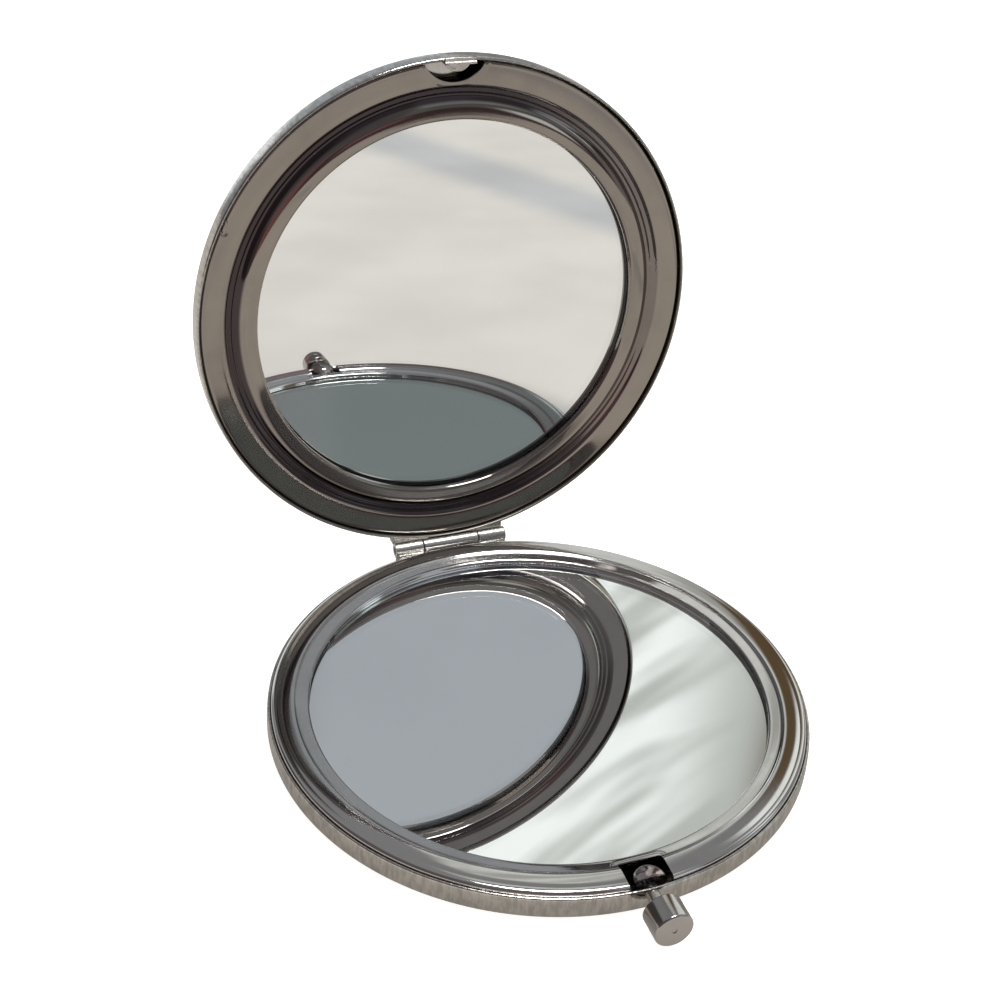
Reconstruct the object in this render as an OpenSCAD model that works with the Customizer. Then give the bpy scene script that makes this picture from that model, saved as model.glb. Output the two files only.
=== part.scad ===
// Round compact mirror. Two pressed shells hold a round mirror each and turn on a barrel hinge at the back.
// A push button at the front works a sprung latch. Millimetres, +Z up. The origin is at the middle of the
// foot panel, on the surface the case stands on. The button points along -Y and the hinge lies at +Y.
// The lid's pieces are drawn shut and then turned open about the hinge.

/* [Case] */
// Outer radius of both shells
case_r = 35; // [32:0.5:40]
// Height of each shell's side wall
wall_h = 3.25; // [3:0.05:4]
// How far the side walls swell at half height
wall_bulge = 0.12; // [0:0.02:0.2]
// Thickness of the shells' sheet metal
shell_t = 0.4; // [0.3:0.05:0.5]
// Outer radius of the bend between back and wall
bend_r = 0.9; // [0.7:0.1:1.2]
// Radius of the flat panel pressed out of each back
panel_r = 28.5; // [24:0.5:29]
// How far that panel stands proud
panel_h = 0.6; // [0.5:0.05:0.9]
// Gap between the two rims when the case is shut
rim_gap = 0.3; // [0.2:0.05:0.4]
// Angle between the two halves as drawn
lid_open = 93.6; // [0:0.1:180]

/* [Rings] */
// Thickness of the rings' sheet metal
ring_t = 0.3; // [0.2:0.05:0.35]
// Distance from the case's edge to the base ring's opening
base_ring_w = 5.4; // [5.2:0.1:6.5]
// Width of the base ring's inner slope
base_slope_w = 1.6; // [1.2:0.1:1.9]
// Height of the base ring's band above the base rim
base_band_h = 0.47; // [0.3:0.01:0.55]
// Height of the base ring's lip above the base rim
base_lip_h = 0.17; // [0.1:0.01:0.25]
// Distance from the case's edge to the lid ring's opening
lid_ring_w = 8.17; // [7.5:0.01:9]
// Width of the lid ring's raised inner band
lid_inner_w = 3.05; // [2.5:0.05:3.5]
// Depth of the lid ring's outer edge below the lid rim
lid_edge_depth = 0.55; // [0.5:0.01:0.8]
// Depth of the lid ring's valley below the lid rim
lid_valley_depth = 1.05; // [0.9:0.01:1.3]
// Depth of the lid ring's inner band below the lid rim
lid_lip_depth = 0.48; // [0.45:0.01:0.7]

/* [Mirrors] */
// Thickness of the glass
glass_t = 1.2; // [1:0.1:1.4]
// Overlap of the base ring over its glass
base_cover = 0.35; // [0.25:0.05:0.5]
// Overlap of the lid ring over its glass
lid_cover = 0.8; // [0.6:0.05:1.2]
// Depth of the lid's glass below the ring's inner band
lid_glass_depth = 0.75; // [0.6:0.05:0.9]

/* [Hinge] */
// Length of the hinge along its pin
hinge_l = 17; // [14:0.5:20]
// Share of the length that the middle knuckle takes
middle_share = 0.5; // [0.4:0.02:0.6]
// Outer diameter of the knuckles
knuckle_d = 2.1; // [1.9:0.1:2.2]
// Diameter of the pin
pin_d = 1; // [0.8:0.05:1.1]
// Distance from the case's edge to the pin's axis
hinge_out = 0.8; // [0.75:0.05:1]
// Thickness of the two leaves
leaf_t = 0.4; // [0.3:0.05:0.45]
// Height of each leaf on its shell
leaf_h = 2.45; // [2:0.05:2.6]

/* [Button] */
// Diameter of the button
knob_d = 4.75; // [4.2:0.05:4.75]
// Length of the button
knob_l = 3.4; // [3.3:0.1:5]
// Gap between the case and the button, out of which the neck shows
neck_l = 2; // [1.8:0.1:2.4]
// Diameter of the neck, which is the guide bush
neck_d = 1.6; // [1.5:0.05:1.7]
// Diameter of the rod
rod_d = 1; // [0.8:0.05:1]
// Height of the button's axis above the surface the case stands on
latch_z = 2.8; // [2.75:0.01:2.85]
// How far the button can be pressed in
press = 0.8; // [0.7:0.05:0.85]

/* [Latch] */
// Width of the domed head across the case
head_d = 4.1; // [4:0.05:4.2]
// Depth of the dome from its open side to its back
head_l = 2.35; // [2.2:0.05:2.4]
// Thickness of the dome's metal
head_t = 0.3; // [0.2:0.05:0.3]
// How far the dome stands proud of the base ring's band
head_rise = 0.65; // [0.5:0.05:0.65]
// Distance from the case's edge to the dome's open side
head_in = 1.1; // [1.05:0.05:1.15]
// Width of the slot in the base ring
slot_w = 5.4; // [5.2:0.1:6]
// Length of that slot from the case's edge
slot_l = 4.3; // [4.2:0.05:4.4]
// Width of the hook on the lid
hook_w = 4.2; // [3.6:0.1:4.4]
// Distance of the hook's plate from the case's middle line, to the right
hook_off = 0.5; // [0:0.05:0.6]
// Radius of the hook's rounded nose
nose_r = 2; // [1.6:0.05:2.1]
// Radius of the half-moon opening in the lid ring
moon_r = 4.6; // [4.2:0.1:5]
// Depth of that opening from the case's edge
moon_l = 3.4; // [3.2:0.1:3.8]

/* [Clearances] */
// Radial clearance of the pin and the rod in their bores
run_fit = 0.05; // [0.03:0.01:0.08]
// Gap between neighbouring knuckles
side_gap = 0.12; // [0.08:0.02:0.2]
// Clearance of moving pieces that pass each other
pass_gap = 0.15; // [0.1:0.01:0.18]

/* [Hidden] */
$fn = 96;
over = 1;

// Heights
base_rim_z = panel_h + wall_h;
lid_rim_z = base_rim_z + rim_gap;
shut_z = base_rim_z + rim_gap / 2;
hinge_y = case_r + hinge_out;

// Rings and glass. Each ring hangs by a flange inside its shell's wall.
seat_gap = 0.02;
lip_r = 0.35;
flange_r = case_r - wall_bulge - shell_t - seat_gap;
flange_h = 1.1;
edge_r = 0.55;
lid_edge_r = 0.45;
base_open_r = case_r - base_ring_w;
base_crease_r = base_open_r + base_slope_w;
base_band_z = base_rim_z + base_band_h;
base_lip_z = base_rim_z + base_lip_h;
base_glass_z = base_lip_z - lip_r - 2 * seat_gap;
lid_open_r = case_r - lid_ring_w;
lid_valley_r = lid_open_r + lid_inner_w;
lid_edge_z = lid_rim_z + lid_edge_depth;
lid_valley_z = lid_rim_z + lid_valley_depth;
lid_lip_z = lid_rim_z + lid_lip_depth;
lid_glass_z = lid_lip_z + lid_glass_depth;
pad_in = 0.4;

// Hinge
knuckle_r = knuckle_d / 2;
middle_l = hinge_l * middle_share;
swing_r = knuckle_r + pass_gap;
solder_in = 0.3;
solder_low = 0.15;

// Button and latch, as distances in Y
knob_y = -case_r - neck_l;
knob_wall = 0.62;
knob_end_t = 0.6;
knob_round = 0.25;
seat_in = 0.3;
flare_y = -case_r + 0.65;
flare_r = neck_d / 2 + 0.1;
head_y = -case_r + head_in;
head_top_z = base_band_z + head_rise;
head_low_z = latch_z - 1;
head_round = 1.1;
stop_gap = 0.05;
collar_r = 0.75;
spring_wire = 0.3;
spring_turns = 4;

// Hook on the lid. Its nose passes behind the dome's edge and over the flared end of the bush.
hook_t = 0.3;
hook_y = -case_r + head_in - pass_gap;
hook_low_z = latch_z + flare_r + pass_gap;
hook_high_z = hook_low_z + 0.25;
hook_root = 1.3;
hook_lip = 0.35;
nose_y = head_y + press - 0.1;

// Parallel outline of an open path, t to its left
function unit(v) = v / norm(v);
function left_of(v) = [-v[1], v[0]];
function mitre(p, i, t) =
    let (
        last = len(p) - 1,
        before = unit(p[max(i, 1)] - p[max(i, 1) - 1]),
        after = unit(p[min(i, last - 1) + 1] - p[min(i, last - 1)]),
        n = left_of(before) + left_of(after)
    )
    p[i] + n * 2 * t / (n * n);
function band(p, t) = concat(p, [for (i = [len(p) - 1:-1:0]) mitre(p, i, t)]);

// Curves: an arc, and a smooth line through a few points
function arc(c, r, from, to, n = 6) = [for (i = [0:n]) let (a = from + (to - from) * i / n) c + r * [cos(a), sin(a)]];
function bend(a, b, c, d, t) =
    0.5 * (2 * b + (c - a) * t + (2 * a - 5 * b + 4 * c - d) * t * t + (3 * b - a - 3 * c + d) * t * t * t);
function smooth(p, n = 4) =
    let (last = len(p) - 1)
    concat(
        [for (i = [0:last - 1], j = [0:n - 1]) bend(p[max(i - 1, 0)], p[i], p[i + 1], p[min(i + 2, last)], j / n)],
        [p[last]]
    );

// Outer half section of the base's pan, from the axis to the rim
function wall_path(n = 6) =
    let (low = panel_h + bend_r, rise = base_rim_z - low)
    [for (i = [1:n]) [case_r - wall_bulge * pow(i / n, 2), low + rise * i / n]];
pan_path = concat(
    [[0, 0], [panel_r, 0], [panel_r + panel_h, panel_h]],
    arc([case_r - bend_r, panel_h + bend_r], bend_r, -90, 0),
    wall_path()
);

// Section of the base ring, from its flange over the band and down the slope to the lip on the glass
base_ring_path = concat(
    [[flange_r, base_rim_z - flange_h]],
    arc([flange_r - edge_r, base_band_z - edge_r], edge_r, 0, 80),
    smooth([
        [flange_r - edge_r - 0.3, base_band_z + 0.01],
        [(flange_r + base_crease_r) / 2, base_band_z + 0.02],
        [base_crease_r + 0.5, base_band_z],
        [base_crease_r + 0.15, base_band_z - 0.05]
    ]),
    smooth([
        [base_crease_r - 0.1, base_lip_z + 0.16],
        [base_crease_r - 0.6, base_lip_z + 0.08],
        [base_open_r + lip_r + 0.15, base_lip_z + 0.01]
    ]),
    arc([base_open_r + lip_r, base_lip_z - lip_r], lip_r, 90, 180),
    [[base_open_r, base_glass_z + seat_gap]]
);

// Section of the lid ring as it lies over a shut base: flange, rounded edge, hollow band, valley, inner band and
// a short collar up to the glass
lid_ring_path = concat(
    [[flange_r, lid_edge_z + flange_h]],
    arc([flange_r - lid_edge_r, lid_edge_z + lid_edge_r], lid_edge_r, 0, -80),
    smooth([
        [flange_r - lid_edge_r - 0.31, lid_edge_z + 0.02],
        [flange_r - lid_edge_r - 1.1, lid_edge_z + 0.08],
        [(flange_r + lid_valley_r) / 2 - 0.3, lid_valley_z - 0.33],
        [lid_valley_r + 1.2, lid_valley_z - 0.23],
        [lid_valley_r + 0.6, lid_valley_z - 0.09],
        [lid_valley_r, lid_valley_z]
    ]),
    smooth([
        [lid_valley_r - 0.3, lid_valley_z - 0.14],
        [lid_valley_r - lid_inner_w * 0.4, lid_lip_z + 0.13],
        [lid_open_r + 1, lid_lip_z + 0.01],
        [lid_open_r + lip_r + 0.2, lid_lip_z]
    ]),
    arc([lid_open_r + lip_r, lid_lip_z + lip_r], lip_r, -90, -180),
    [[lid_open_r, lid_glass_z - seat_gap]]
);

// Turns the lid's pieces from shut to open
module opened() {
    translate([0, hinge_y, shut_z])
        rotate([-lid_open, 0, 0])
            translate([0, -hinge_y, -shut_z])
                children();
}

// Body of revolution about the button's axis, drawn as [radius, y]
module turned() {
    translate([0, 0, latch_z])
        rotate([-90, 0, 0])
            rotate_extrude()
                children();
}

// Cylinder on the hinge's axis from x = from to x = to
module on_hinge(from, to, r) {
    translate([from, hinge_y, shut_z])
        rotate([0, 90, 0])
            cylinder(h = to - from, r = r);
}

// Flips a base piece into a lid piece, about the plane where the rims meet
module as_lid() {
    translate([0, 0, 2 * shut_z])
        mirror([0, 0, 1])
            children();
}

module pan_solid() {
    rotate_extrude($fn = 180)
        polygon(concat(pan_path, [[0, base_rim_z]]));
}

// A pan with room for the knuckles at its rim
module pan() {
    difference() {
        rotate_extrude($fn = 180)
            polygon(band(pan_path, shell_t));
        on_hinge(-hinge_l / 2 - pass_gap, hinge_l / 2 + pass_gap, swing_r);
    }
}

module disc(r, low, high) {
    translate([0, 0, low])
        cylinder(r = r, h = high - low, $fn = 180);
}

// Leaf of the base half without knuckles: a plate and the solder between it and the curved wall
module leaf_body() {
    low = base_rim_z - leaf_h;
    difference() {
        union() {
            translate([-hinge_l / 2, case_r, low])
                cube([hinge_l, leaf_t, shut_z - low]);
            translate([-hinge_l / 2 + solder_in, case_r - 1.6, low + solder_in])
                cube([hinge_l - 2 * solder_in, 1.6 + leaf_t / 2, leaf_h - solder_in - solder_low]);
        }
        pan_solid();
    }
}

module base_shell() {
    color("lightslategray")
        difference() {
            pan();
            turned()
                translate([0, -case_r - over])
                    square([neck_d / 2, over * 3]);
        }
}

// Outline of the slot in plan, open towards the rim, with a sharper corner on the left
module slot_plan() {
    left = 0.3;
    right = 1.2;
    inner_y = -case_r + slot_l;
    union() {
        translate([-slot_w / 2, -case_r - over])
            square([slot_w, over + slot_l - right]);
        translate([-slot_w / 2, inner_y - right - over])
            square([slot_w - right, over + right - left]);
        translate([-slot_w / 2 + left, inner_y - right - over])
            square([slot_w - left - right, over + right]);
        translate([-slot_w / 2 + left, inner_y - left])
            circle(left, $fn = 24);
        translate([slot_w / 2 - right, inner_y - right])
            circle(right, $fn = 48);
    }
}

module base_ring() {
    color("silver")
        difference() {
            rotate_extrude($fn = 180)
                polygon(band(base_ring_path, ring_t));
            translate([0, 0, base_rim_z - flange_h - over])
                linear_extrude(flange_h + 3 * over)
                    slot_plan();
        }
}

module base_mirror() {
    color("gainsboro")
        disc(base_open_r + base_cover, base_glass_z - glass_t, base_glass_z);
}

module base_mirror_pad() {
    color("dimgray")
        disc(min(base_open_r, panel_r) - pad_in, shell_t, base_glass_z - glass_t);
}

module base_hinge_leaf() {
    color("silver")
        difference() {
            union() {
                difference() {
                    leaf_body();
                    on_hinge(-middle_l / 2 - side_gap / 2, middle_l / 2 + side_gap / 2, swing_r);
                }
                on_hinge(-hinge_l / 2, -middle_l / 2 - side_gap / 2, knuckle_r);
                on_hinge(middle_l / 2 + side_gap / 2, hinge_l / 2, knuckle_r);
            }
            on_hinge(-hinge_l / 2 - over, hinge_l / 2 + over, pin_d / 2 + run_fit);
        }
}

module hinge_pin() {
    color("gray")
        on_hinge(-hinge_l / 2, hinge_l / 2, pin_d / 2);
}

module latch_bush() {
    inner_end = knob_y - seat_in;
    bore = rod_d / 2 + run_fit;
    color("silver")
        turned()
            polygon([
                [bore, inner_end - 0.3],
                [1.5, inner_end - 0.3],
                [1.5, inner_end],
                [neck_d / 2, inner_end],
                [neck_d / 2, -case_r + shell_t + wall_bulge + 0.02],
                [flare_r, flare_y - 0.05],
                [flare_r, flare_y],
                [bore, flare_y]
            ]);
}

// Wire of round section along a helix about the button's axis
module latch_spring() {
    sides = 8;
    steps = 16;
    coil_r = 1.4;
    start = knob_y - seat_in - 0.3 - spring_wire / 2;
    end = knob_y - knob_l + knob_end_t + spring_wire / 2;
    count = spring_turns * steps;
    ring = [for (i = [0:count], j = [0:sides - 1])
        let (
            along = i / count,
            turn = 360 * i / steps,
            around = 360 * j / sides,
            r = coil_r + spring_wire / 2 * cos(around)
        )
        [r * cos(turn), start + (end - start) * along + spring_wire / 2 * sin(around), latch_z + r * sin(turn)]];
    skin = [for (i = [0:count - 1], j = [0:sides - 1])
        let (a = i * sides + j, b = i * sides + (j + 1) % sides)
        [a, b, b + sides, a + sides]];
    caps = [
        [for (j = [sides - 1:-1:0]) j],
        [for (j = [0:sides - 1]) count * sides + j]
    ];
    color("darkgray")
        polyhedron(concat(ring), concat(skin, caps), convexity = 10);
}

module push_button() {
    r = knob_d / 2;
    face = knob_y - knob_l;
    bottom = face + knob_end_t;
    color("rosybrown")
        turned()
            polygon(concat(
                [[0, face + 0.12], [0.25, face + 0.08], [0.35, face]],
                arc([r - knob_round, face + knob_round], knob_round, -90, 0),
                [
                    [r, knob_y - 0.15],
                    [r - 0.15, knob_y],
                    [r - knob_wall, knob_y],
                    [r - knob_wall, bottom],
                    [rod_d / 2, bottom],
                    [rod_d / 2, bottom - knob_end_t / 2],
                    [0, bottom - knob_end_t / 2]
                ]
            ));
}

module latch_rod() {
    color("gray")
        turned()
            polygon([
                [0, knob_y - knob_l + knob_end_t / 2],
                [rod_d / 2, knob_y - knob_l + knob_end_t / 2],
                [rod_d / 2, flare_y + stop_gap],
                [collar_r, flare_y + stop_gap],
                [collar_r, flare_y + stop_gap + 0.4],
                [rod_d / 2, flare_y + stop_gap + 0.4],
                [rod_d / 2, head_y + head_l - 0.1],
                [0, head_y + head_l - 0.1]
            ]);
}

// Hollow dome, cut straight and open on the side towards the case's wall and open below
module latch_head() {
    r = head_d / 2;
    crown_r = r - head_round + head_round * cos(75);
    crown_z = head_top_z - 0.18;
    outer = concat(
        [[r, head_low_z]],
        arc([r - head_round, crown_z - head_round * sin(75)], head_round, 0, 75, 8),
        smooth([
            [crown_r - 0.2, crown_z + 0.05],
            [crown_r / 2, head_top_z - 0.04],
            [0.2, head_top_z]
        ]),
        [[0, head_top_z]]
    );
    color("dimgray")
        difference() {
            translate([0, head_y + head_l - r, 0])
                rotate_extrude()
                    polygon(band(outer, head_t));
            translate([-head_d, head_y - head_d, head_low_z - over])
                cube([2 * head_d, head_d, head_top_z - head_low_z + 2 * over]);
            turned()
                translate([0, head_y])
                    square([rod_d / 2, head_l + over]);
        }
}

module lid_shell() {
    color("slategray")
        opened()
            difference() {
                as_lid() pan();
                translate([hook_off - hook_w / 2, -case_r - over, lid_rim_z - over])
                    cube([hook_w, over + 2 * shell_t, over + hook_lip]);
            }
}

module lid_ring() {
    color("rosybrown")
        opened()
            difference() {
                rotate_extrude($fn = 180)
                    polygon(band(lid_ring_path, -ring_t));
                translate([0, -case_r + moon_l - moon_r, lid_rim_z - over])
                    cylinder(r = moon_r, h = lid_edge_depth + flange_h + 2 * over, $fn = 96);
            }
}

module lid_mirror() {
    color("gainsboro")
        opened()
            disc(lid_open_r + lid_cover, lid_glass_z, lid_glass_z + glass_t);
}

module lid_mirror_pad() {
    color("dimgray")
        opened()
            disc(min(lid_open_r + lid_cover, panel_r) - pad_in, lid_glass_z + glass_t, 2 * shut_z - shell_t);
}

module lid_hinge_leaf() {
    color("silver")
        opened()
            difference() {
                union() {
                    difference() {
                        as_lid() leaf_body();
                        on_hinge(-hinge_l / 2 - over, -middle_l / 2 + side_gap / 2, swing_r);
                        on_hinge(middle_l / 2 - side_gap / 2, hinge_l / 2 + over, swing_r);
                    }
                    on_hinge(-middle_l / 2 + side_gap / 2, middle_l / 2 - side_gap / 2, knuckle_r);
                }
                on_hinge(-hinge_l / 2 - over, hinge_l / 2 + over, pin_d / 2 + run_fit);
            }
}

// Hook: a lip let into the shell's rim, a root soldered inside the wall, and a shank with a rounded nose that
// goes down into the base's slot
module lid_catch() {
    inner_r = case_r - wall_bulge - shell_t;
    left = hook_off - hook_w / 2;
    color("darkgray")
        opened()
            union() {
                intersection() {
                    translate([left, -case_r, lid_rim_z])
                        cube([hook_w, hook_y + case_r, hook_lip]);
                    cylinder(r = case_r - wall_bulge, h = 3 * shut_z, $fn = 180);
                }
                intersection() {
                    translate([left, -case_r, lid_rim_z])
                        cube([hook_w, hook_y + case_r, hook_root]);
                    cylinder(r = inner_r, h = 3 * shut_z, $fn = 180);
                }
                translate([left, hook_y - hook_t, hook_low_z])
                    cube([hook_w, hook_t, lid_rim_z + hook_lip - hook_low_z]);
                intersection() {
                    translate([0, nose_y - nose_r, hook_low_z])
                        cylinder(r = nose_r, h = hook_high_z - hook_low_z, $fn = 48);
                    translate([left, hook_y - hook_t, hook_low_z - over])
                        cube([hook_w, 2 * nose_r, 3 * over]);
                }
            }
}

base_shell();
base_ring();
base_mirror();
base_mirror_pad();
base_hinge_leaf();
hinge_pin();
latch_bush();
latch_spring();
push_button();
latch_rod();
latch_head();
lid_shell();
lid_ring();
lid_mirror();
lid_mirror_pad();
lid_hinge_leaf();
lid_catch();
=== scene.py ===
import math

import bpy
from mathutils import Matrix, Vector


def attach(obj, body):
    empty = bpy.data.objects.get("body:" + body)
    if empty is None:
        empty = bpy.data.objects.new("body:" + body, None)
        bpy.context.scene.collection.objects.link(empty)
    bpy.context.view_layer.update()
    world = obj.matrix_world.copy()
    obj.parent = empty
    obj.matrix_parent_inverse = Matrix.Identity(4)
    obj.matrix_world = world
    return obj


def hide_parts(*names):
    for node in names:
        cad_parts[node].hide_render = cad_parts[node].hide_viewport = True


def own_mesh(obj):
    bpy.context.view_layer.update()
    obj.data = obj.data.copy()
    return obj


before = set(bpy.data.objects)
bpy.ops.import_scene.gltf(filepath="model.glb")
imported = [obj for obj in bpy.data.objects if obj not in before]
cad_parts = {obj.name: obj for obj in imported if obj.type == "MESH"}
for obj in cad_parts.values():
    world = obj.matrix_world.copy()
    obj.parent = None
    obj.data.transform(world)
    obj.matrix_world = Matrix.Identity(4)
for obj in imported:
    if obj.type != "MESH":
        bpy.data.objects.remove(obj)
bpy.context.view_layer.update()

# Round compact mirror, open on a table, with its studio and camera.
# Outlines are in millimetres, as in the construction, and become metres when a piece is made.
# The lid is modelled shut and then turned open.

MM = 0.001
MERGE = MM / 1000

# Sizes in millimetres, most of them taken over from the construction

# Pans
CASE_R = 35.0
WALL_H = 3.25
WALL_BULGE = 0.12
SHELL_T = 0.4
BEND_R = 0.9
PANEL_R = 28.5
PANEL_H = 0.6
PANEL_ROUND = 0.6
PANEL_SPREAD = 0.15
RIM_GAP = 0.3
BASE_RIM_Z = PANEL_H + WALL_H
LID_RIM_Z = BASE_RIM_Z + RIM_GAP
SHUT_Z = BASE_RIM_Z + RIM_GAP / 2
INSIDE_WALL_R = CASE_R - 0.3

# Rings
RING_T = 0.3
SEAT_GAP = 0.02
FLANGE_R = CASE_R - WALL_BULGE - SHELL_T - SEAT_GAP
FLANGE_H = 1.1
EDGE_R = 0.55
LID_EDGE_R = 0.45
LIP_R = 0.35
BASE_OPEN_R = CASE_R - 5.4
BASE_CREASE_R = BASE_OPEN_R + 1.6
BASE_BAND_Z = BASE_RIM_Z + 0.47
BASE_LIP_Z = BASE_RIM_Z + 0.17
LID_OPEN_R = CASE_R - 8.17
LID_VALLEY_R = LID_OPEN_R + 3.05
LID_EDGE_Z = LID_RIM_Z + 0.55
LID_VALLEY_Z = LID_RIM_Z + 1.05
LID_LIP_Z = LID_RIM_Z + 0.48
SLOT_W = 5.4
SLOT_L = 4.3
SLOT_LEFT = 0.3
SLOT_RIGHT = 1.2
MOON_R = 4.6
MOON_L = 3.4
MOON_Y = -CASE_R + MOON_L - MOON_R
MOON_CUT = 6.0

# Mirrors
GLASS_T = 1.2
GLASS_GROUND = 0.08
SILVER_GAP = 0.02
BASE_GLASS_R = BASE_OPEN_R + 0.35
BASE_GLASS_Z = BASE_LIP_Z - LIP_R - 2 * SEAT_GAP
LID_GLASS_R = LID_OPEN_R + 0.8
LID_GLASS_Z = LID_LIP_Z + 0.75

# Hinge
LID_OPEN = math.radians(93.6)
HINGE_Y = CASE_R + 0.8
HINGE_L = 17.0
KNUCKLE_R = 1.05
PASS_GAP = 0.15

# Button
LATCH_Z = 2.8
NECK_R = 0.8
NECK_L = 2.0
SEAT_IN = 0.3
KNOB_R = 4.75 / 2
KNOB_L = 3.4
KNOB_BACK_Y = -CASE_R - NECK_L
KNOB_WALL_T = 0.62
KNOB_END_T = 0.6
KNOB_EDGE = 0.25
KNOB_BACK_EDGE = 0.15
DIMPLE_R = 0.42
DIMPLE_ROUND = 0.12
DIMPLE_FLAT_R = 0.12
DIMPLE_DEPTH = 0.14
PIN_R = 0.5
ROD_HOLE_L = 2.0
BUSH_HOLE_L = 4.0
BUSH_BORE_R = 0.55
BUSH_FLANGE = 0.3
BUSH_FLANGE_R = 1.5
BUSH_END = 0.65
BUSH_END_R = 0.9
BUSH_END_L = 0.11
BUSH_LIP_T = 0.05

# Latch head and hook
HEAD_R = 4.1 / 2
HEAD_L = 2.35
HEAD_T = 0.3
HEAD_Y = -CASE_R + 1.1
HEAD_TOP_Z = BASE_BAND_Z + 0.65
HEAD_LOW_Z = LATCH_Z - 1
HEAD_ROUND = 1.1
HEAD_CUT = 5.0
CROWN_ANGLE = 75
CROWN_DROP = 0.18
HOOK_W = 4.2
HOOK_OFF = 0.5
HOOK_LIP = 0.35
LUMP_SIZE = 0.45

# From shut to open: the lid turns back about the hinge pin
HINGE_POINT = Vector((0, HINGE_Y, SHUT_Z)) * MM
OPENING = (
    Matrix.Translation(HINGE_POINT)
    @ Matrix.Rotation(-LID_OPEN, 4, "X")
    @ Matrix.Translation(-HINGE_POINT)
)

SPIN_STEPS = 288
BUTTON_SPIN_STEPS = 128
MOON_STEPS = 192

# Edges sharper than this, in degrees, stay sharp
SHARP_ANGLE = 35

# How far a cutter reaches past what it cuts
PAST = 1.0


# Outlines

def arc(centre, radius, start, end, count=10):
    """Points on an arc, angles in degrees."""
    points = []
    for i in range(count + 1):
        a = math.radians(start + (end - start) * i / count)
        points.append((centre[0] + radius * math.cos(a), centre[1] + radius * math.sin(a)))
    return points


def smooth(keys, count=8):
    """A smooth line through a few points."""
    last = len(keys) - 1
    points = []
    for i in range(last):
        a, b, c, d = (Vector(keys[min(max(j, 0), last)]) for j in (i - 1, i, i + 1, i + 2))
        square, cube = 2 * a - 5 * b + 4 * c - d, 3 * b - a - 3 * c + d
        for j in range(count):
            t = j / count
            points.append(tuple((2 * b + (c - a) * t + square * t ** 2 + cube * t ** 3) / 2))
    return points + [tuple(keys[-1])]


def parallel(path, t):
    """The path moved t to its left."""
    moved = []
    last = len(path) - 1
    for i, point in enumerate(path):
        before = (Vector(path[max(i, 1)]) - Vector(path[max(i, 1) - 1])).normalized()
        after = (Vector(path[min(i, last - 1) + 1]) - Vector(path[min(i, last - 1)])).normalized()
        n = before.orthogonal() + after.orthogonal()
        moved.append(tuple(Vector(point) + n * 2 * t / n.dot(n)))
    return moved


def sheet_outline(path, t, rounded_end=False, count=6):
    """Closed outline of sheet metal along a path, thickness to its left, its end round if asked."""
    other = parallel(path, t)
    outline = list(path)
    if rounded_end:
        centre = (Vector(path[-1]) + Vector(other[-1])) / 2
        arm = Vector(path[-1]) - centre
        turn = math.pi if t > 0 else -math.pi
        for i in range(1, count):
            outline.append(tuple(centre + Matrix.Rotation(turn * i / count, 2) @ arm))
    return outline + other[::-1]


def wall_path(top, count=12):
    """Slightly bulged wall of a pan, from its bend up to a height."""
    low = PANEL_H + BEND_R
    rise = BASE_RIM_Z - low
    points = []
    for i in range(1, count + 1):
        z = low + (top - low) * i / count
        points.append((CASE_R - WALL_BULGE * ((z - low) / rise) ** 2, z))
    return points


# Outside of a pan, from the middle of its panel to its rim
PAN_PATH = (
    [(0, 0)]
    + arc((PANEL_R - PANEL_ROUND / 2, PANEL_ROUND), PANEL_ROUND, -90, -45, 6)
    + arc((PANEL_R + PANEL_H + PANEL_SPREAD, PANEL_H - PANEL_ROUND), PANEL_ROUND, 135, 90, 6)
    + arc((CASE_R - BEND_R, PANEL_H + BEND_R), BEND_R, -90, 0, 14)
    + wall_path(BASE_RIM_Z - SHELL_T / 2)
)

# Seen side of the base ring, from the foot of its flange over band, crease and lip to the glass
BASE_RING_PATH = (
    [(FLANGE_R, BASE_RIM_Z - FLANGE_H)]
    + arc((FLANGE_R - EDGE_R, BASE_BAND_Z - EDGE_R), EDGE_R, 0, 80, 16)
    + smooth([
        # Band, which rises a little inwards
        (FLANGE_R - EDGE_R - 0.3, BASE_BAND_Z - 0.01),
        ((FLANGE_R + BASE_CREASE_R) / 2, BASE_BAND_Z + 0.07),
        (BASE_CREASE_R + 0.5, BASE_BAND_Z + 0.1),
        # Crease
        (BASE_CREASE_R + 0.15, BASE_BAND_Z - 0.05),
        (BASE_CREASE_R - 0.1, BASE_LIP_Z + 0.16),
        # Slope down to the lip
        (BASE_CREASE_R - 0.6, BASE_LIP_Z + 0.08),
        (BASE_OPEN_R + LIP_R + 0.15, BASE_LIP_Z + 0.01),
    ])
    + arc((BASE_OPEN_R + LIP_R, BASE_LIP_Z - LIP_R), LIP_R, 90, 180, 12)
    + [(BASE_OPEN_R, BASE_GLASS_Z + SEAT_GAP)]
)

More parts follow.
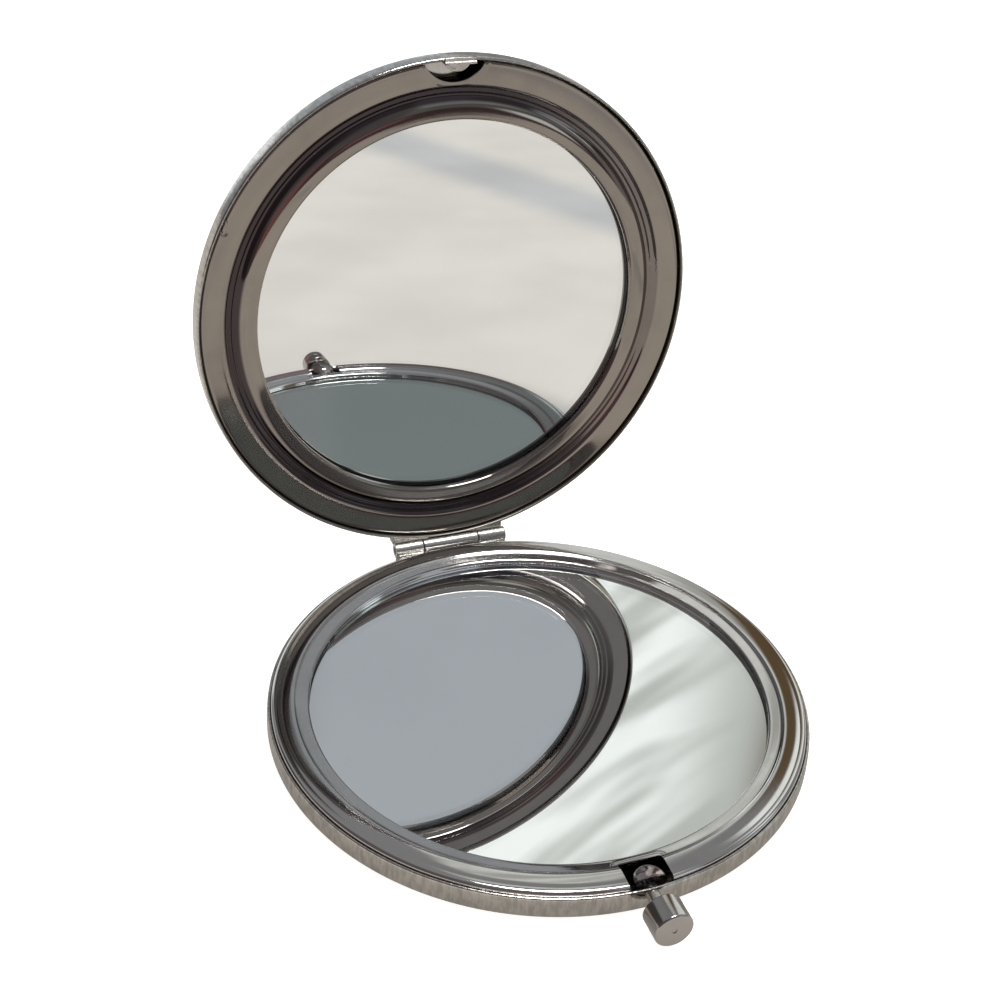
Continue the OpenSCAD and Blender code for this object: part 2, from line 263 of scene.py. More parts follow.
# Seen side of the shut lid ring, from its flange over the band and through the valley to the glass
LID_RING_PATH = (
    [(FLANGE_R, LID_EDGE_Z + FLANGE_H)]
    + arc((FLANGE_R - LID_EDGE_R, LID_EDGE_Z + LID_EDGE_R), LID_EDGE_R, 0, -80, 16)
    + smooth([
        # Band
        (FLANGE_R - LID_EDGE_R - 0.31, LID_EDGE_Z + 0.02),
        (FLANGE_R - LID_EDGE_R - 1.1, LID_EDGE_Z + 0.08),
        ((FLANGE_R + LID_VALLEY_R) / 2 - 0.3, LID_VALLEY_Z - 0.33),
        (LID_VALLEY_R + 1.6, LID_VALLEY_Z - 0.27),
        # Step down to a small bead
        (LID_VALLEY_R + 1.3, LID_VALLEY_Z - 0.18),
        (LID_VALLEY_R + 1.05, LID_VALLEY_Z),
        (LID_VALLEY_R + 0.85, LID_VALLEY_Z + 0.08),
        (LID_VALLEY_R + 0.5, LID_VALLEY_Z + 0.11),
        # Valley
        (LID_VALLEY_R + 0.25, LID_VALLEY_Z + 0.25),
        (LID_VALLEY_R + 0.05, LID_VALLEY_Z + 0.3),
        (LID_VALLEY_R - 0.15, LID_VALLEY_Z + 0.27),
        # Rise to the lip
        (LID_VALLEY_R - 0.42, LID_VALLEY_Z + 0.07),
        (LID_VALLEY_R - 0.72, LID_VALLEY_Z - 0.17),
        (LID_VALLEY_R - 1.05, LID_LIP_Z + 0.23),
        (LID_VALLEY_R - 1.6, LID_LIP_Z + 0.09),
        (LID_OPEN_R + LIP_R + 0.2, LID_LIP_Z),
    ])
    + arc((LID_OPEN_R + LIP_R, LID_LIP_Z + LIP_R), LIP_R, -90, -180, 12)
    + [(LID_OPEN_R, LID_GLASS_Z - SEAT_GAP)]
)


# Modelling

def select_only(piece):
    """Makes a piece the active one and the only one selected."""
    bpy.ops.object.select_all(action="DESELECT")
    bpy.context.view_layer.objects.active = piece
    piece.select_set(True)


def start_piece(name):
    """A new object of one vertex at the origin, in edit mode."""
    bpy.ops.object.select_all(action="DESELECT")
    bpy.ops.mesh.primitive_plane_add(size=MM)
    piece = bpy.context.object
    piece.name = piece.data.name = name
    bpy.ops.object.mode_set(mode="EDIT")
    bpy.ops.mesh.select_mode(type="VERT")
    bpy.ops.mesh.merge(type="CENTER")
    return piece


def lathe(name, outline, closed, steps=SPIN_STEPS):
    """Spins an outline of (radius, z) about Z."""
    piece = start_piece(name)
    here = Vector((outline[0][0], 0, outline[0][1])) * MM
    bpy.ops.transform.translate(value=here)
    for r, z in outline[1:] + (outline[:1] if closed else []):
        there = Vector((r, 0, z)) * MM
        bpy.ops.mesh.extrude_region_move(TRANSFORM_OT_translate={"value": there - here})
        here = there
    bpy.ops.mesh.select_all(action="SELECT")
    bpy.ops.mesh.remove_doubles(threshold=MERGE)
    bpy.ops.mesh.spin(steps=steps, angle=2 * math.pi, center=(0, 0, 0), axis=(0, 0, 1))
    bpy.ops.mesh.select_all(action="SELECT")
    bpy.ops.mesh.remove_doubles(threshold=MERGE)
    bpy.ops.mesh.normals_make_consistent(inside=False)
    bpy.ops.object.mode_set(mode="OBJECT")
    return piece


def turned(name, outline, closed):
    """Spins an outline of (radius, y) about the button's axis."""
    piece = lathe(name, outline, closed, BUTTON_SPIN_STEPS)
    to_axis = Matrix.Translation((0, 0, LATCH_Z * MM)) @ Matrix.Rotation(math.radians(-90), 4, "X")
    return placed(piece, to_axis)


def placed(piece, matrix):
    """Moves a piece and puts the place into its mesh."""
    select_only(piece)
    piece.matrix_world = matrix @ piece.matrix_world
    bpy.ops.object.transform_apply()
    return piece


def add_box(name, low, high):
    """Box between two corners in millimetres."""
    low, high = Vector(low), Vector(high)
    bpy.ops.object.select_all(action="DESELECT")
    bpy.ops.mesh.primitive_cube_add(size=1, location=(low + high) / 2 * MM, scale=(high - low) * MM)
    bpy.ops.object.transform_apply()
    box = bpy.context.object
    box.name = box.data.name = name
    return box


def add_rod(name, centre, radius, length, axis, vertices=96):
    """Cylinder about a point in millimetres, along X, Y or Z."""
    quarter = math.pi / 2
    turn = {"X": (0, quarter, 0), "Y": (quarter, 0, 0), "Z": (0, 0, 0)}[axis]
    bpy.ops.object.select_all(action="DESELECT")
    bpy.ops.mesh.primitive_cylinder_add(
        vertices=vertices,
        radius=radius * MM,
        depth=length * MM,
        location=Vector(centre) * MM,
        rotation=turn,
    )
    bpy.ops.object.transform_apply()
    rod = bpy.context.object
    rod.name = rod.data.name = name
    return rod


def apply_modifier(piece, kind, **settings):
    """Gives a piece a modifier and puts its effect into the mesh."""
    select_only(piece)
    modifier = piece.modifiers.new(kind.title(), kind)
    for key, value in settings.items():
        setattr(modifier, key, value)
    bpy.ops.object.modifier_apply(modifier=modifier.name)


def cut(piece, *cutters):
    """Takes cutters away from a piece and removes them."""
    for cutter in cutters:
        apply_modifier(piece, "BOOLEAN", operation="DIFFERENCE", solver="MANIFOLD", object=cutter)
        bpy.data.objects.remove(cutter)


def finish_piece(piece, node, body, material, lid=False, sharp=SHARP_ANGLE):
    """Turns a lid piece open, shades it, gives it its material, hangs it on its body and hides the
    construction piece.
    """
    if lid:
        placed(piece, OPENING)
    select_only(piece)
    bpy.ops.object.shade_smooth_by_angle(angle=math.radians(sharp))
    piece.data.materials.clear()
    piece.data.materials.append(material)
    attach(piece, body)
    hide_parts(node)


def second_finish(piece, faces, material):
    """Gives some faces of a finished piece another material."""
    piece.data.materials.append(material)
    for index in faces:
        piece.data.polygons[index].material_index = 1


# Node groups for the finishes

def new_group(name, inputs, outputs):
    """An empty node group with number inputs and outputs, and a vector input named Vector."""
    group = bpy.data.node_groups.new(name, "ShaderNodeTree")
    for socket, default in inputs.items():
        kind = "NodeSocketVector" if socket == "Vector" else "NodeSocketFloat"
        made = group.interface.new_socket(socket, in_out="INPUT", socket_type=kind)
        if socket != "Vector":
            made.default_value = default
    for socket in outputs:
        group.interface.new_socket(socket, in_out="OUTPUT", socket_type="NodeSocketFloat")
    return group, group.nodes.new("NodeGroupInput"), group.nodes.new("NodeGroupOutput")


class Tree:
    """Short words for placing and linking shader nodes."""

    def __init__(self, tree):
        self.nodes, self.links = tree.nodes, tree.links

    def add(self, kind, inputs=None, **settings):
        """A new node, with its settings and with values or links for its inputs."""
        node = self.nodes.new("ShaderNode" + kind)
        for key, value in settings.items():
            setattr(node, key, value)
        for socket, value in (inputs or {}).items():
            self.feed(node.inputs[socket], value)
        return node

    def feed(self, socket, value):
        if isinstance(value, bpy.types.NodeSocket):
            self.links.new(value, socket)
        else:
            socket.default_value = value

    def math(self, operation, a, b=0.0):
        return self.add("Math", {0: a, 1: b}, operation=operation).outputs[0]

    def times(self, a, b):
        return self.math("MULTIPLY", a, b)

    def plus(self, a, b):
        return self.math("ADD", a, b)

    def apart(self, a, b):
        return self.math("ABSOLUTE", self.math("SUBTRACT", a, b))

    def length(self, a, b):
        return self.math("SQRT", self.plus(self.times(a, a), self.times(b, b)))

    def axes(self, vector):
        return self.add("SeparateXYZ", {"Vector": vector}).outputs

    def ramp(self, value, low, high, to_low=0.0, to_high=1.0):
        """A soft step from one result to another as the value goes from low to high."""
        span = {"From Min": low, "From Max": high, "To Min": to_low, "To Max": to_high}
        step = self.add("MapRange", {"Value": value, **span}, interpolation_type="SMOOTHSTEP")
        return step.outputs["Result"]

    def blend(self, under, over, factor):
        """A colour between two others."""
        mix = self.add("Mix", {"Factor": factor, 6: under, 7: over}, data_type="RGBA")
        return mix.outputs[2]

    def noise(self, vector, scale, detail=2.0, roughness=0.5):
        settings = {"Vector": vector, "Scale": scale, "Detail": detail, "Roughness": roughness}
        return self.add("TexNoise", settings).outputs["Fac"]

    def stretched(self, vector, scale, turn=(0, 0, 0)):
        mapping = self.add("Mapping", {"Vector": vector, "Scale": scale, "Rotation": turn})
        return mapping.outputs["Vector"]


def scratches_group():
    """Sparse hairline scratches in several directions, each given by its turn and its stretch."""
    inputs = {"Vector": None, "Fineness": 1400.0}
    group, given, result = new_group("hairline_scratches", inputs, ["Mask"])
    t = Tree(group)
    total = None
    for turn, stretch in ((0.3, 0.02), (1.25, 0.03), (2.2, 0.025), (2.9, 0.04)):
        line = t.stretched(given.outputs["Vector"], (1, stretch, 0.3), (0, 0, turn))
        value = t.noise(line, given.outputs["Fineness"], 1.0)
        hair = t.ramp(value, 0.7, 0.78)
        total = hair if total is None else t.math("MAXIMUM", total, hair)
    patches = t.ramp(t.noise(given.outputs["Vector"], 90.0), 0.45, 0.6)
    t.feed(result.inputs["Mask"], t.times(total, patches))
    return group


def smudge_group():
    """Cloudy handling marks."""
    group, given, result = new_group("smudges", {"Vector": None, "Size": 120.0}, ["Mask"])
    t = Tree(group)
    cloud = t.noise(given.outputs["Vector"], given.outputs["Size"], 4.0, 0.6)
    t.feed(result.inputs["Mask"], t.ramp(cloud, 0.42, 0.7))
    return group


def around_group():
    """Position as (way round the axis, height, radius), in metres."""
    inputs = {"Vector": None, "Radius": CASE_R * MM}
    group, given, result = new_group("around_axis", inputs, ["Way", "Height", "Radius"])
    t = Tree(group)
    x, y, z = t.axes(given.outputs["Vector"])
    t.feed(result.inputs["Way"], t.times(t.math("ARCTAN2", y, x), given.outputs["Radius"]))
    t.feed(result.inputs["Height"], z)
    t.feed(result.inputs["Radius"], t.length(x, y))
    return group


def pressed_edge_group():
    """Mask of a narrow line that runs round a rectangle or, with no half sizes, round a circle."""
    inputs = {
        "Vector": None,
        "Middle X": 0.0, "Middle Y": 0.0, "Half X": 0.0, "Half Y": 0.0,
        "Offset": MM, "Width": 0.2 * MM, "Beyond Y": -1.0,
    }
    group, given, result = new_group("pressed_edge", inputs, ["Mask"])
    t = Tree(group)
    x, y, _ = t.axes(given.outputs["Vector"])
    beyond = []
    for value, middle, half in ((x, "Middle X", "Half X"), (y, "Middle Y", "Half Y")):
        away = t.apart(value, given.outputs[middle])
        beyond.append(t.math("MAXIMUM", t.math("SUBTRACT", away, given.outputs[half]), 0.0))
    off = t.apart(t.length(*beyond), given.outputs["Offset"])
    line = t.ramp(off, 0.0, given.outputs["Width"], 1.0, 0.0)
    inward = t.math("GREATER_THAN", y, given.outputs["Beyond Y"])
    t.feed(result.inputs["Mask"], t.times(line, inward))
    return group


GROUPS = {
    "scratches": scratches_group(),
    "smudges": smudge_group(),
    "around": around_group(),
    "pressed_edge": pressed_edge_group(),
}


def own_frame(t, lid):
    """Object coordinates, turned back to the shut position for the lid's pieces."""
    coordinates = t.add("TexCoord").outputs["Object"]
    if not lid:
        return coordinates
    back = OPENING.inverted()
    place = {"Location": back.to_translation(), "Rotation": back.to_euler()}
    return t.add("Mapping", {"Vector": coordinates, **place}).outputs["Vector"]


def use_group(t, name, **inputs):
    """The outputs of a shared group, fed with values or links."""
    node = t.add("Group", node_tree=GROUPS[name])
    for socket, value in inputs.items():
        t.feed(node.inputs[socket], value)
    return node.outputs


# Finishes

# Bump heights count in this length
BUMP_UNIT = 0.01 * MM

# Hairlines and smudges: depth, roughness, how much a smudge dulls and the colour left when dull
HAIR_DEPTH = 0.04
HAIR_ROUGHNESS = 0.12
SMUDGE_ROUGHNESS = 0.06
SMUDGE_DULLS = 0.3
COLOUR_LEFT = 0.7

# Fineness of shallow dents and of a wall's upright ripple, and the radii where the ripple comes in
DENT_FINENESS = 260.0
RIPPLE_FINENESS = 1500.0
RIPPLE_HEIGHT_SCALE = 0.3
RIPPLE_DULLS = 0.8
RIPPLE_BEGIN = CASE_R - 2.5
RIPPLE_FULL = CASE_R - 0.5

# Painted shade in the lid ring's groove: its colour, and how it weakens to the right between two places
# in millimetres
GROOVE_SHADE = (0.03, 0.022, 0.03, 1)
GROOVE_SHADE_STRONG = 0.85
GROOVE_SHADE_WEAK = 0.3
GROOVE_SHADE_FROM = 8
GROOVE_SHADE_TO = 26

# Glass, slightly green, and its silver where clear and where clouded
GLASS_COLOUR = (0.985, 0.995, 0.99, 1)
GLASS_INDEX = 1.52
GLASS_ROUGHNESS = 0.008
SILVER = (0.94, 0.955, 0.95, 1)
SILVER_CLOUDED = (0.92, 0.94, 0.935, 1)


def new_material(name):
    """A material with its node tree and its shader."""
    material = bpy.data.materials.new(name)
    material.use_nodes = True
    t = Tree(material.node_tree)
    return material, t, t.nodes["Principled BSDF"]


def painted_groove_shade(t, shown, where, begin, full, fade, end):
    """Painted shade: darkens a groove between radii, most of all away from the right-hand side."""
    radius = use_group(t, "around", Vector=where)["Radius"]
    inside = t.ramp(radius, begin * MM, full * MM)
    outside = t.ramp(radius, fade * MM, end * MM, 1.0, 0.0)
    x = t.axes(where)["X"]
    side = t.ramp(x, GROOVE_SHADE_FROM * MM, GROOVE_SHADE_TO * MM, GROOVE_SHADE_STRONG, GROOVE_SHADE_WEAK)
    return t.blend(shown, GROOVE_SHADE, t.times(side, t.times(inside, outside)))


def relief(t, where, height, grain=0.0, grain_size=6000.0, dent=0.0, edges=()):
    """Adds grain, shallow dents and pressed lines to a bump height."""
    if grain:
        height = t.plus(height, t.times(t.noise(where, grain_size, 3.0, 0.6), grain))
    if dent:
        height = t.plus(height, t.times(t.noise(where, DENT_FINENESS, 2.0), dent))
    for raised, place in edges:
        line = use_group(t, "pressed_edge", Vector=where, **place)["Mask"]
        height = t.plus(height, t.times(line, raised))
    return height


def wall_ripple(t, where, ripple):
    """Height and dullness of the fine upright ripple of a drawn wall."""
    way, high, radius = use_group(t, "around", Vector=where)
    unrolled = t.add("CombineXYZ", {"X": way, "Y": t.times(high, RIPPLE_HEIGHT_SCALE)}).outputs[0]
    fine = t.noise(unrolled, RIPPLE_FINENESS, 3.0, 0.55)
    wall_only = t.ramp(radius, RIPPLE_BEGIN * MM, RIPPLE_FULL * MM)
    height = t.times(t.times(fine, ripple), wall_only)
    dull = t.times(t.ramp(fine, 0.35, 0.65, 0.0, RIPPLE_DULLS), wall_only)
    return height, dull


def plated(name, colour, roughness, lid=False, scratch=0.5, smudge=0.5, ripple=0.0, groove=None, **marks):
    """Bright nickel plate with hairlines and smudges and, if asked, a ripple, painted shade in a groove,
    and relief.
    """
    material, t, shader = new_material(name)
    where = own_frame(t, lid)
    hair = use_group(t, "scratches", Vector=where)["Mask"]
    cloud = use_group(t, "smudges", Vector=where)["Mask"]
    height = relief(t, where, t.times(hair, -HAIR_DEPTH * scratch), **marks)
    dull = t.times(cloud, SMUDGE_DULLS)
    if ripple:
        wall_height, wall_dull = wall_ripple(t, where, ripple)
        height = t.plus(height, wall_height)
        dull = t.plus(dull, wall_dull)
    darker = [part * COLOUR_LEFT for part in colour]
    shown = t.blend((*colour, 1), (*darker, 1), dull)
    # Painted shade darkens the groove, most of all away from the right-hand side
    if groove:
        shown = painted_groove_shade(t, shown, where, *groove)
    rough_hair = t.times(hair, HAIR_ROUGHNESS * scratch)
    rough_smudge = t.times(cloud, SMUDGE_ROUGHNESS * smudge)
    rough = t.plus(t.plus(rough_hair, rough_smudge), roughness)
    bump = t.add("Bump", {"Height": height, "Strength": 1.0, "Distance": BUMP_UNIT})
    shader.inputs["Metallic"].default_value = 1.0
    t.feed(shader.inputs["Base Color"], shown)
    t.feed(shader.inputs["Roughness"], rough)
    t.feed(shader.inputs["Normal"], bump.outputs["Normal"])
    return material


def clear_glass(name):
    """Front and edge of the mirror glass, with finger smudges."""
    material, t, shader = new_material(name)
    where = own_frame(t, False)
    cloud = use_group(t, "smudges", Vector=where, Size=70.0)["Mask"]
    shader.inputs["Base Color"].default_value = GLASS_COLOUR
    shader.inputs["Transmission Weight"].default_value = 1.0
    shader.inputs["IOR"].default_value = GLASS_INDEX
    t.feed(shader.inputs["Roughness"], t.times(cloud, GLASS_ROUGHNESS))
    return material


def silvering(name):
    """Silver on the back of the glass, with faint clouding."""
    material, t, shader = new_material(name)
    where = own_frame(t, False)
    cloud = use_group(t, "smudges", Vector=where, Size=40.0)["Mask"]
    t.feed(shader.inputs["Base Color"], t.blend(SILVER, SILVER_CLOUDED, cloud))
    shader.inputs["Metallic"].default_value = 1.0
    shader.inputs["Roughness"].default_value = 0.0
    return material


def felt(name, colour, roughness):
    """Dark cloth, a little uneven in its roughness."""
    material, t, shader = new_material(name)
    cloud = t.noise(own_frame(t, False), 900.0)
    uneven = t.ramp(cloud, 0.3, 0.7, roughness - 0.08, roughness + 0.08)
    t.feed(shader.inputs["Roughness"], uneven)
    shader.inputs["Base Color"].default_value = (*colour, 1)
    return material


def mm(**place):
    """Inputs for a pressed line, named as its sockets are and given in millimetres."""
    return {key.replace("_", " ").title(): value * MM for key, value in place.items()}


# Pressed lines as (height, place): one with a height below zero is pressed in
SLOT_LINE = (7.0, mm(
    middle_y=-CASE_R,
    half_x=SLOT_W / 2 - 0.4,
    half_y=SLOT_L - 0.4,
    offset=1.0,
    width=0.4,
    beyond_y=-CASE_R + SLOT_L,
))
MOON_LINE = (3.5, mm(middle_y=MOON_Y, offset=MOON_R + 0.45, width=0.4))
SCUFF = (-10.0, mm(middle_x=-30.4, middle_y=-15.4, half_y=0.7, offset=0.35, width=0.2))

# Radii where the painted shade of the lid's valley begins, is full, fades and ends
GROOVE = (LID_VALLEY_R - 0.9, LID_VALLEY_R - 0.5, LID_VALLEY_R + 1.2, LID_VALLEY_R + 1.5)

# Colours of the plating
WALL = (0.66, 0.63, 0.58)
# The lid's wall is the base wall's plate painted darker: painted shade
LID_WALL_PAINTED_SHADE = (0.58, 0.56, 0.53)
HINGE = (0.5, 0.49, 0.46)
SOLDER = (0.62, 0.6, 0.56)

MATERIALS = {
    "base_wall": plated("nickel_wall", WALL, 0.1, smudge=0.6, grain=0.3, ripple=3.0),
    "lid_wall": plated("nickel_lid_wall_painted_shade", LID_WALL_PAINTED_SHADE, 0.1, lid=True, smudge=0.6, grain=0.3, ripple=3.0),
    # Inside of the lid's wall: rougher plate, its dark colour painted shade of the hollow
    "lid_inside": plated("rough_inside_painted_shade", (0.26, 0.25, 0.22), 0.4, lid=True, grain=1.0),
    "base_ring": plated("nickel_base_ring", (0.58, 0.57, 0.55), 0.07, dent=0.5, edges=[SLOT_LINE]),
    # Lid ring: the base ring's nickel painted darker, which is painted shade, with painted shade in its
    # valley
    "lid_ring": plated(
        "nickel_lid_ring_painted_shade", (0.31, 0.28, 0.25), 0.07,
        lid=True, scratch=0.3, dent=0.5, edges=[MOON_LINE, SCUFF], groove=GROOVE,
    ),
    "glass": clear_glass("mirror_glass"),
    "silver": silvering("mirror_silver"),
    "pad": felt("black_felt", (0.02, 0.02, 0.02), 0.9),
    "hinge": plated("nickel_hinge", HINGE, 0.26, grain=0.8, grain_size=3500.0),
    "lid_hinge": plated("nickel_lid_hinge", HINGE, 0.26, lid=True, grain=0.8, grain_size=3500.0),
    "solder": plated("plated_solder", SOLDER, 0.36, lid=True, grain=2.0, grain_size=2500.0),
    "button": plated("turned_button", (0.45, 0.43, 0.41), 0.12, grain=0.3),
    # Latch head: nickel painted darker and pink-tinted, which is painted shade of the slot and a painted
    # purple-grey reflection
    "head": plated("head_nickel_painted_shade_and_reflection", (0.42, 0.37, 0.37), 0.1),
    "steel": plated("bare_steel", (0.45, 0.45, 0.45), 0.25),
    "pin": plated("dark_pin", (0.08, 0.08, 0.08), 0.45),
}


# The pieces

def slot_cutter():
    """Cutter for the slot of the base ring, open towards the rim, with its left corner sharper."""
    cutter = add_box(
        "slot_cutter",
        (-SLOT_W / 2, -CASE_R - PAST, BASE_RIM_Z - FLANGE_H - PAST),
        (SLOT_W / 2, -CASE_R + SLOT_L, BASE_BAND_Z + PAST),
    )
    for side, radius in ((-1, SLOT_LEFT), (1, SLOT_RIGHT)):
        for edge in cutter.data.edges:
            ends = [cutter.data.vertices[i].co for i in edge.vertices]
            upright = abs(ends[0].z - ends[1].z) > MM
            edge.select = upright and all(p.y > -CASE_R * MM and p.x * side > 0 for p in ends)
        bpy.ops.object.mode_set(mode="EDIT")
        bpy.ops.mesh.select_mode(type="EDGE")
        bpy.ops.mesh.bevel(offset=radius * MM, segments=12)
        bpy.ops.mesh.select_all(action="DESELECT")
        bpy.ops.object.mode_set(mode="OBJECT")
    return cutter


def knuckle_room():
    """Cutter for the room that the hinge's knuckles take from a rim."""
    length = HINGE_L + 2 * PASS_GAP
    return add_rod("knuckle_room", (0, HINGE_Y, SHUT_Z), KNUCKLE_R + PASS_GAP, length, "X")


def make_base_shell():
    shell = lathe("base_shell_piece", sheet_outline(PAN_PATH, SHELL_T, rounded_end=True), False)
    bush_hole = add_rod("bush_hole", (0, -CASE_R, LATCH_Z), NECK_R, BUSH_HOLE_L, "Y")
    cut(shell, knuckle_room(), bush_hole)
    finish_piece(shell, "base_shell", "base", MATERIALS["base_wall"])


def make_base_ring():
    ring = lathe("base_ring_piece", sheet_outline(BASE_RING_PATH, RING_T), True)
    cut(ring, slot_cutter())
    finish_piece(ring, "base_ring", "base", MATERIALS["base_ring"])


def inside_rim(point):
    """Whether a point of the shut lid lies on the inner face of its wall."""
    low, high = LID_RIM_Z * MM, (LID_RIM_Z + WALL_H - SHELL_T) * MM
    return math.hypot(point.x, point.y) < INSIDE_WALL_R * MM and low < point.z < high


def make_lid_shell():
    """The base's pan turned over, with a notch for the hook and a rougher inside whose dark colour is
    painted shade.
    """
    upside_down = Matrix.Translation((0, 0, 2 * SHUT_Z * MM)) @ Matrix.Diagonal((1, 1, -1, 1))
    shell = lathe("lid_shell_piece", sheet_outline(PAN_PATH, SHELL_T, rounded_end=True), False)
    placed(shell, upside_down)
    bpy.ops.object.mode_set(mode="EDIT")
    bpy.ops.mesh.select_all(action="SELECT")
    bpy.ops.mesh.normals_make_consistent(inside=False)
    bpy.ops.object.mode_set(mode="OBJECT")
    notch = add_box(
        "hook_notch",
        (HOOK_OFF - HOOK_W / 2, -CASE_R - PAST, LID_RIM_Z - PAST),
        (HOOK_OFF + HOOK_W / 2, -CASE_R + 2 * SHELL_T, LID_RIM_Z + HOOK_LIP),
    )
    cut(shell, knuckle_room(), notch)
    # Faces of the inner wall, which take the painted shade
    inside = [face.index for face in shell.data.polygons if inside_rim(face.center)]
    finish_piece(shell, "lid_shell", "lid", MATERIALS["lid_wall"], lid=True)
    second_finish(shell, inside, MATERIALS["lid_inside"])


def make_lid_ring():
    ring = lathe("lid_ring_piece", sheet_outline(LID_RING_PATH, -RING_T), True)
    cut(ring, add_rod("moon", (0, MOON_Y, LID_RIM_Z + PAST), MOON_R, MOON_CUT, "Z", MOON_STEPS))
    finish_piece(ring, "lid_ring", "lid", MATERIALS["lid_ring"], lid=True)


def head_path():
    """Half section of the domed head, from the middle of its crown to its lower edge."""
    crown_r = HEAD_R - HEAD_ROUND + HEAD_ROUND * math.cos(math.radians(CROWN_ANGLE))
    crown_z = HEAD_TOP_Z - CROWN_DROP
    bend_z = crown_z - HEAD_ROUND * math.sin(math.radians(CROWN_ANGLE))
    crown = smooth([
        (0.2, HEAD_TOP_Z),
        (crown_r / 2, HEAD_TOP_Z - 0.04),
        (crown_r - 0.2, crown_z + 0.05),
    ])
    return (
        [(0, HEAD_TOP_Z)]
        + crown
        + arc((HEAD_R - HEAD_ROUND, bend_z), HEAD_ROUND, CROWN_ANGLE, 0, 14)
        + [(HEAD_R, HEAD_LOW_Z)]
    )


def make_push_button():
    """Hollow turned cap with a dimple in its face."""
    face = KNOB_BACK_Y - KNOB_L
    bore_r = KNOB_R - KNOB_WALL_T
    outline = (
        [(0, face + DIMPLE_DEPTH), (DIMPLE_FLAT_R, face + DIMPLE_DEPTH - 0.01)]
        + arc((DIMPLE_R, face + DIMPLE_ROUND), DIMPLE_ROUND, 180, 270, 6)
        + arc((KNOB_R - KNOB_EDGE, face + KNOB_EDGE), KNOB_EDGE, -90, 0, 10)
        + arc((KNOB_R - KNOB_BACK_EDGE, KNOB_BACK_Y - KNOB_BACK_EDGE), KNOB_BACK_EDGE, 0, 90, 6)
        + [(bore_r, KNOB_BACK_Y), (bore_r, face + KNOB_END_T), (0, face + KNOB_END_T)]
    )
    knob = turned("push_button_piece", outline, False)
    finish_piece(knob, "push_button", "button", MATERIALS["button"])


def make_latch_head():
    """Domed hood, open at the front, with the hole for the rod in its back."""
    outline = sheet_outline(head_path(), -HEAD_T, rounded_end=True)
    head = lathe("latch_head_piece", outline, False, BUTTON_SPIN_STEPS)
    placed(head, Matrix.Translation((0, (HEAD_Y + HEAD_L - HEAD_R) * MM, 0)))
    front = add_box(
        "front_cut",
        (-HEAD_CUT, HEAD_Y - HEAD_CUT, HEAD_LOW_Z - PAST),
        (HEAD_CUT, HEAD_Y, HEAD_TOP_Z + PAST),
    )
    cut(head, front, add_rod("rod_hole", (0, HEAD_Y + HEAD_L, LATCH_Z), PIN_R, ROD_HOLE_L, "Y"))
    finish_piece(head, "latch_head", "button", MATERIALS["head"])


def make_latch_bush():
    """Guide tube with a flange inside the button, opened out behind the front wall."""
    flange = KNOB_BACK_Y - SEAT_IN
    end = -CASE_R + BUSH_END
    outline = [
        (BUSH_BORE_R, flange - BUSH_FLANGE),
        (BUSH_FLANGE_R, flange - BUSH_FLANGE),
        (BUSH_FLANGE_R, flange),
        (NECK_R, flange),
        (NECK_R, end - BUSH_END_L),
        (BUSH_END_R, end - BUSH_LIP_T),
        (BUSH_END_R, end),
        (BUSH_BORE_R, end),
    ]
    bush = turned("latch_bush_piece", outline, True)
    finish_piece(bush, "latch_bush", "base", MATERIALS["hinge"])


def make_mirror(node, body, radius, front, back):
    """Thick glass disc, ground at the edge and silvered on the back."""
    low, high = min(front, back), max(front, back)
    ground_r = radius - GLASS_GROUND
    outline = [
        (0, high), (ground_r, high), (radius, high - GLASS_GROUND),
        (radius, low + GLASS_GROUND), (ground_r, low), (0, low),
    ]
    glass = lathe(node + "_piece", outline, False)
    faces = glass.data.polygons
    backs = [face.index for face in faces if abs(face.center.z - back * MM) < MM / 100]
    finish_piece(glass, node, body, MATERIALS["glass"], lid=body == "lid", sharp=20)
    second_finish(glass, backs, MATERIALS["silver"])


def make_mirrors():
    depth = GLASS_T - SILVER_GAP
    make_mirror("base_mirror", "base", BASE_GLASS_R, BASE_GLASS_Z, BASE_GLASS_Z - depth)
    make_mirror("lid_mirror", "lid", LID_GLASS_R, LID_GLASS_Z, LID_GLASS_Z + depth)


def own_copy(node):
    """A closed copy of a construction piece."""
    select_only(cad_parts[node])
    bpy.ops.object.duplicate()
    piece = bpy.context.object
    piece.name = piece.data.name = node + "_piece"
    bpy.ops.object.mode_set(mode="EDIT")
    bpy.ops.mesh.select_all(action="SELECT")
    bpy.ops.mesh.remove_doubles(threshold=MERGE)
    bpy.ops.object.mode_set(mode="OBJECT")
    return piece


def softened(node, body, material, voxel, rounds, rough=0.0):
    """A copy of a construction piece with its edges melted, as plating and solder leave them."""
    piece = own_copy(node)
    apply_modifier(piece, "REMESH", mode="VOXEL", voxel_size=voxel * MM)
    apply_modifier(piece, "SMOOTH", factor=0.5, iterations=rounds)
    if rough:
        lumps = bpy.data.textures.new(node + "_lumps", "CLOUDS")
        lumps.noise_scale = LUMP_SIZE * MM
        apply_modifier(piece, "DISPLACE", texture=lumps, strength=rough * MM, mid_level=0.5)
    finish_piece(piece, node, body, MATERIALS[material], sharp=60)


def make_hinge_and_hook():
    softened("base_hinge_leaf", "base", "hinge", voxel=0.07, rounds=2)
    softened("lid_hinge_leaf", "lid", "lid_hinge", voxel=0.07, rounds=2)
    softened("lid_catch", "lid", "solder", voxel=0.06, rounds=3, rough=0.12)


def make_spring():
    """The coil spring between the bush and the button, copied from the construction with a mesh of its
    own.
    """
    piece = own_copy("latch_spring")
    finish_piece(piece, "latch_spring", "base", MATERIALS["steel"])
    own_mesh(piece)


